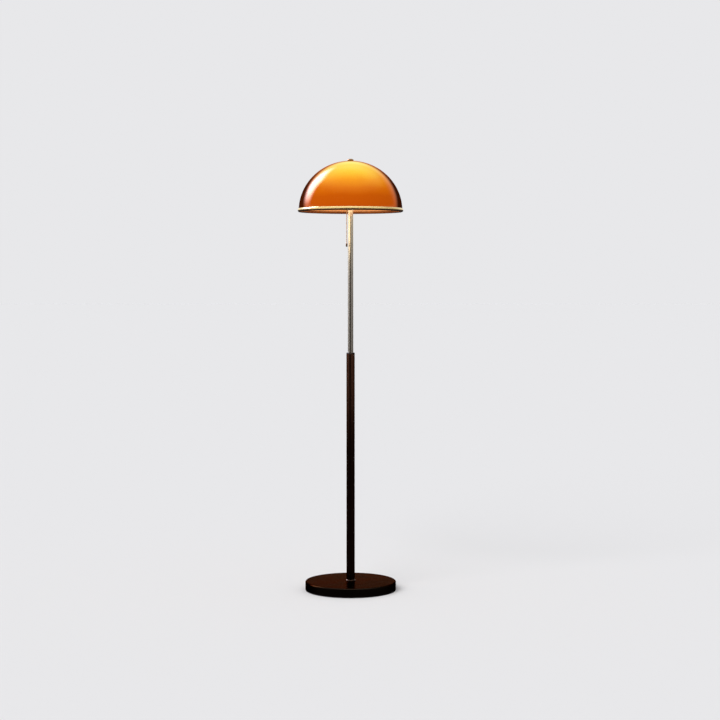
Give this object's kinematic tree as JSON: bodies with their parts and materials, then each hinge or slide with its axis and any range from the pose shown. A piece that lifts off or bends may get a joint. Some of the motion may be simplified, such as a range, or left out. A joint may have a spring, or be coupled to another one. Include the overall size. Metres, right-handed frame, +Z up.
{
  "type": "mushroom floor lamp",
  "caption": "Floor lamp with a domed amber shade on a telescoping round pole, a weighted disc base and a bead pull chain.",
  "frame": {"origin": "centre of the base's underside, on the floor", "axes": "+Z up along the pole, -Y towards the viewer's side, +X to the viewer's right; the cord outlet faces +Y"},
  "size_m": [0.3469, 0.347, 1.4216],
  "materials": {
    "felt": "black felt",
    "bronze_paint": "dark bronze enamel, semi-gloss",
    "cast_iron": "rough cast, painted black",
    "gland_plastic": "moulded, black",
    "plated_steel": "zinc plated",
    "nylon": "dark brown moulded nylon",
    "satin_nickel": "satin nickel plate",
    "polished_trim": "polished and lacquered",
    "amber_acrylic": "amber translucent acrylic, glossy",
    "brass": "brass, lacquered",
    "dark_brass": "dark bronzed brass",
    "ceramic": "white glazed porcelain",
    "rubber": "soft black rubber",
    "opal_glass": "opal white, lit",
    "clear_glass": "clear",
    "tungsten": "bare wire, lit",
    "phenolic": "moulded dark brown"
  },
  "bodies": {
    "stand": {"base_pad": "felt", "base_cover": "bronze_paint", "base_weight": "cast_iron", "cord_gland": "gland_plastic", "base_lock_washer": "plated_steel", "base_lock_nut": "plated_steel", "base_nipple": "plated_steel", "foot_collar": "bronze_paint", "pole_foot_plug": "plated_steel", "lower_tube": "bronze_paint", "guide_bush": "nylon"},
    "slider": {"slider_bush": "nylon"},
    "mast": {"upper_tube": "satin_nickel", "tube_end_cap": "plated_steel", "stop_ring": "plated_steel", "tube_top_plug": "plated_steel", "top_nipple": "plated_steel", "housing_lock_nut": "plated_steel", "harp_saddle": "plated_steel", "switch_housing": "satin_nickel", "housing_lid": "satin_nickel", "pull_switch_body": "phenolic", "switch_ring_nut": "plated_steel", "return_spring": "plated_steel", "lampholder_body": "ceramic", "lampholder_shell": "brass", "centre_contact": "brass", "lampholder_screws": "plated_steel", "terminal_screws": "brass", "harp": "plated_steel", "harp_ferrules": "brass", "harp_stud": "plated_steel", "shade_gasket": "rubber", "shade_dome": "amber_acrylic", "shade_ring": "polished_trim", "finial_washer": "brass"},
    "pull": {"switch_plunger": "phenolic", "pull_chain": "brass", "pull_knob": "dark_brass"},
    "finial": {"finial": "brass"},
    "bulb": {"bulb_cap": "plated_steel", "bulb_glass": "opal_glass", "bulb_stem": "clear_glass", "bulb_filament": "tungsten"}
  },
  "joints": [
    {"name": "pole_extension", "type": "slide", "parent": "stand", "child": "slider", "axis": [0, 0, 1], "range_m": [-0.3, 0]},
    {"name": "mast_swivel", "type": "hinge", "parent": "slider", "child": "mast", "pos_m": [0, 0, 0.7], "axis": [0, 0, 1], "range_deg": [-180, 180]},
    {"name": "chain_pull", "type": "slide", "parent": "mast", "child": "pull", "axis": [0, 0, -1], "range_m": [0, 0.008], "stiffness_N_per_m": 500, "springref_m": -0.006, "deforming": ["return_spring"]},
    {"name": "finial_turn", "type": "hinge", "parent": "mast", "child": "finial", "pos_m": [0, 0, 1.418], "axis": [0, 0, 1], "continuous": true},
    {"name": "bulb_turn", "type": "hinge", "parent": "mast", "child": "bulb", "pos_m": [0, 0, 1.33], "axis": [0, 0, 1], "continuous": true}
  ]
}
